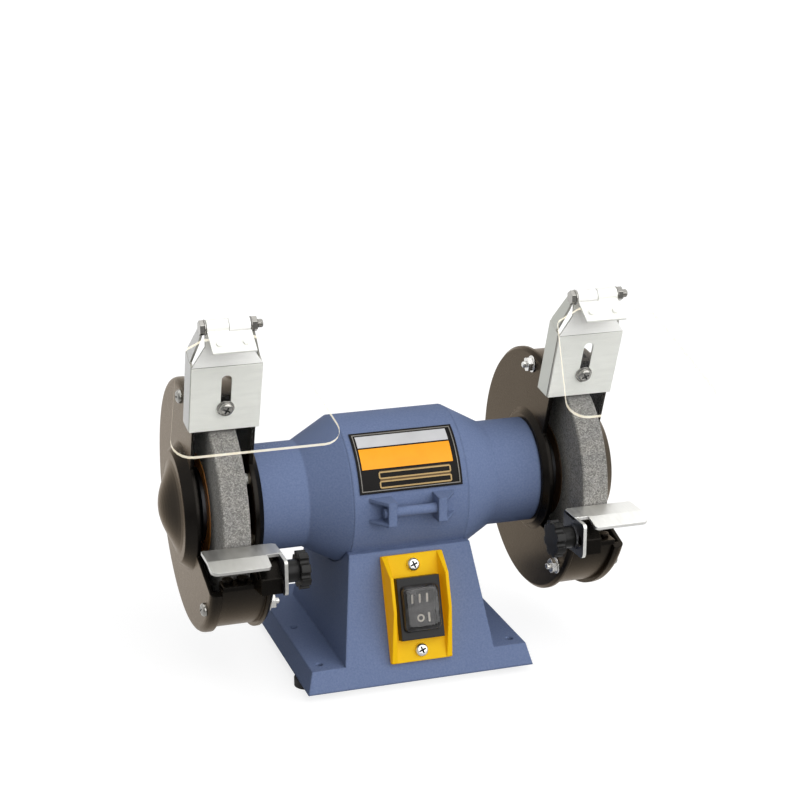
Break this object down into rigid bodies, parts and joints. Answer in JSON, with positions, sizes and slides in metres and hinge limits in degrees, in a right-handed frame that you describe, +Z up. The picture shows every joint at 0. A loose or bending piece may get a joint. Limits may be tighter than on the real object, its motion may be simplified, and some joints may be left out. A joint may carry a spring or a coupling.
{
  "type": "bench grinder",
  "caption": "Bench grinder: painted motor drum on a tapered pedestal, guarded abrasive wheels on both ends, clear eye shields, adjustable tool rests and a front rocker switch.",
  "frame": {"origin": "middle of its footprint box, on the bench surface under the feet; the shaft axis is 23.5 mm behind it and 108 mm above it", "axes": "+Z up, -Y to the front where the user stands, +X to the right along the shaft"},
  "size_m": [0.3082, 0.206, 0.2322],
  "materials": {
    "housing_paint": "satin slate-blue paint",
    "guard_black": "satin black enamel",
    "abrasive": "grey vitrified abrasive",
    "zinc": "bright zinc plating",
    "steel": "machined steel",
    "lamination": "stacked sheet steel",
    "copper": "enamelled copper winding",
    "paper": "brown paper",
    "acrylic": "clear acrylic",
    "yellow_plastic": "yellow plastic",
    "black_plastic": "black plastic",
    "smoke_clear": "smoky clear vinyl",
    "plate_print": "printed metal plate",
    "rubber": "black rubber",
    "grey_can": "drawn can"
  },
  "bodies": {
    "frame": {"motor_housing": "housing_paint", "left_end_bell": "housing_paint", "right_end_bell": "housing_paint", "stator_core": "lamination", "stator_windings": "copper", "capacitor": "grey_can", "capacitor_clip": "zinc", "bottom_cover": "zinc", "bottom_cover_screws": "zinc", "rubber_feet": "rubber", "switch_plate": "yellow_plastic", "switch_plate_screws": "zinc", "switch_body": "black_plastic", "switch_boot": "smoke_clear", "nameplate": "plate_print", "hanger_pin": "housing_paint", "cord_gland": "rubber", "left_inner_guard": "guard_black", "right_inner_guard": "guard_black", "left_guard_cover": "guard_black", "right_guard_cover": "guard_black", "guard_cover_screws": "zinc", "guard_cover_nuts": "zinc", "guard_mount_screws": "zinc", "left_bearing_outer": "steel", "right_bearing_outer": "steel", "left_rest_bracket": "guard_black", "right_rest_bracket": "guard_black", "rest_bracket_bolts": "guard_black", "spark_guard_screws": "zinc"},
    "spindle": {"shaft": "steel", "rotor_core": "lamination", "left_wheel": "abrasive", "left_blotters": "paper", "left_inner_flange": "steel", "left_outer_flange": "steel", "left_spindle_nut": "steel", "left_bearing_inner": "steel", "right_wheel": "abrasive", "right_blotters": "paper", "right_inner_flange": "steel", "right_outer_flange": "steel", "right_spindle_nut": "steel", "right_bearing_inner": "steel"},
    "left_rest_pivot": {"left_rest_washer": "zinc"},
    "left_rest": {"left_tool_rest": "zinc"},
    "left_knob": {"left_rest_knob": "black_plastic"},
    "left_spark_guard": {"left_spark_bracket": "zinc", "left_hinge_bolt": "zinc"},
    "left_shield": {"left_shield_flap": "zinc", "left_eye_shield": "acrylic"},
    "right_rest_pivot": {"right_rest_washer": "zinc"},
    "right_rest": {"right_tool_rest": "zinc"},
    "right_knob": {"right_rest_knob": "black_plastic"},
    "right_spark_guard": {"right_spark_bracket": "zinc", "right_hinge_bolt": "zinc"},
    "right_shield": {"right_shield_flap": "zinc", "right_eye_shield": "acrylic"},
    "rocker": {"switch_rocker": "black_plastic"}
  },
  "joints": [
    {"name": "spindle_spin", "type": "hinge", "parent": "frame", "child": "spindle", "pos_m": [0, 0.0235, 0.108], "axis": [1, 0, 0], "continuous": true},
    {"name": "left_rest_tilt", "type": "hinge", "parent": "frame", "child": "left_rest_pivot", "pos_m": [-0.0874, -0.0555, 0.091], "axis": [1, 0, 0], "range_deg": [-4, 12]},
    {"name": "left_rest_slide", "type": "slide", "parent": "left_rest_pivot", "child": "left_rest", "axis": [0, 1, 0], "range_m": [-0.009, 0.0008]},
    {"name": "left_knob_turn", "type": "hinge", "parent": "frame", "child": "left_knob", "pos_m": [-0.076, -0.0555, 0.091], "axis": [1, 0, 0], "continuous": true},
    {"name": "left_spark_slide", "type": "slide", "parent": "frame", "child": "left_spark_guard", "axis": [0, -0.342, 0.9397], "range_m": [-0.0015, 0.003]},
    {"name": "left_shield_hinge", "type": "hinge", "parent": "left_spark_guard", "child": "left_shield", "pos_m": [-0.1082, -0.03042, 0.22757], "axis": [1, 0, 0], "range_deg": [-80, 15]},
    {"name": "right_rest_tilt", "type": "hinge", "parent": "frame", "child": "right_rest_pivot", "pos_m": [0.0874, -0.0555, 0.091], "axis": [1, 0, 0], "range_deg": [-4, 12]},
    {"name": "right_rest_slide", "type": "slide", "parent": "right_rest_pivot", "child": "right_rest", "axis": [0, 1, 0], "range_m": [-0.009, 0.0008]},
    {"name": "right_knob_turn", "type": "hinge", "parent": "frame", "child": "right_knob", "pos_m": [0.076, -0.0555, 0.091], "axis": [1, 0, 0], "continuous": true},
    {"name": "right_spark_slide", "type": "slide", "parent": "frame", "child": "right_spark_guard", "axis": [0, -0.342, 0.9397], "range_m": [-0.0015, 0.003]},
    {"name": "right_shield_hinge", "type": "hinge", "parent": "right_spark_guard", "child": "right_shield", "pos_m": [0.1082, -0.03042, 0.22757], "axis": [1, 0, 0], "range_deg": [-80, 15]},
    {"name": "rocker_press", "type": "hinge", "parent": "frame", "child": "rocker", "pos_m": [0, -0.02877, 0.04736], "axis": [1, 0, 0], "range_deg": [-10, 0]}
  ]
}
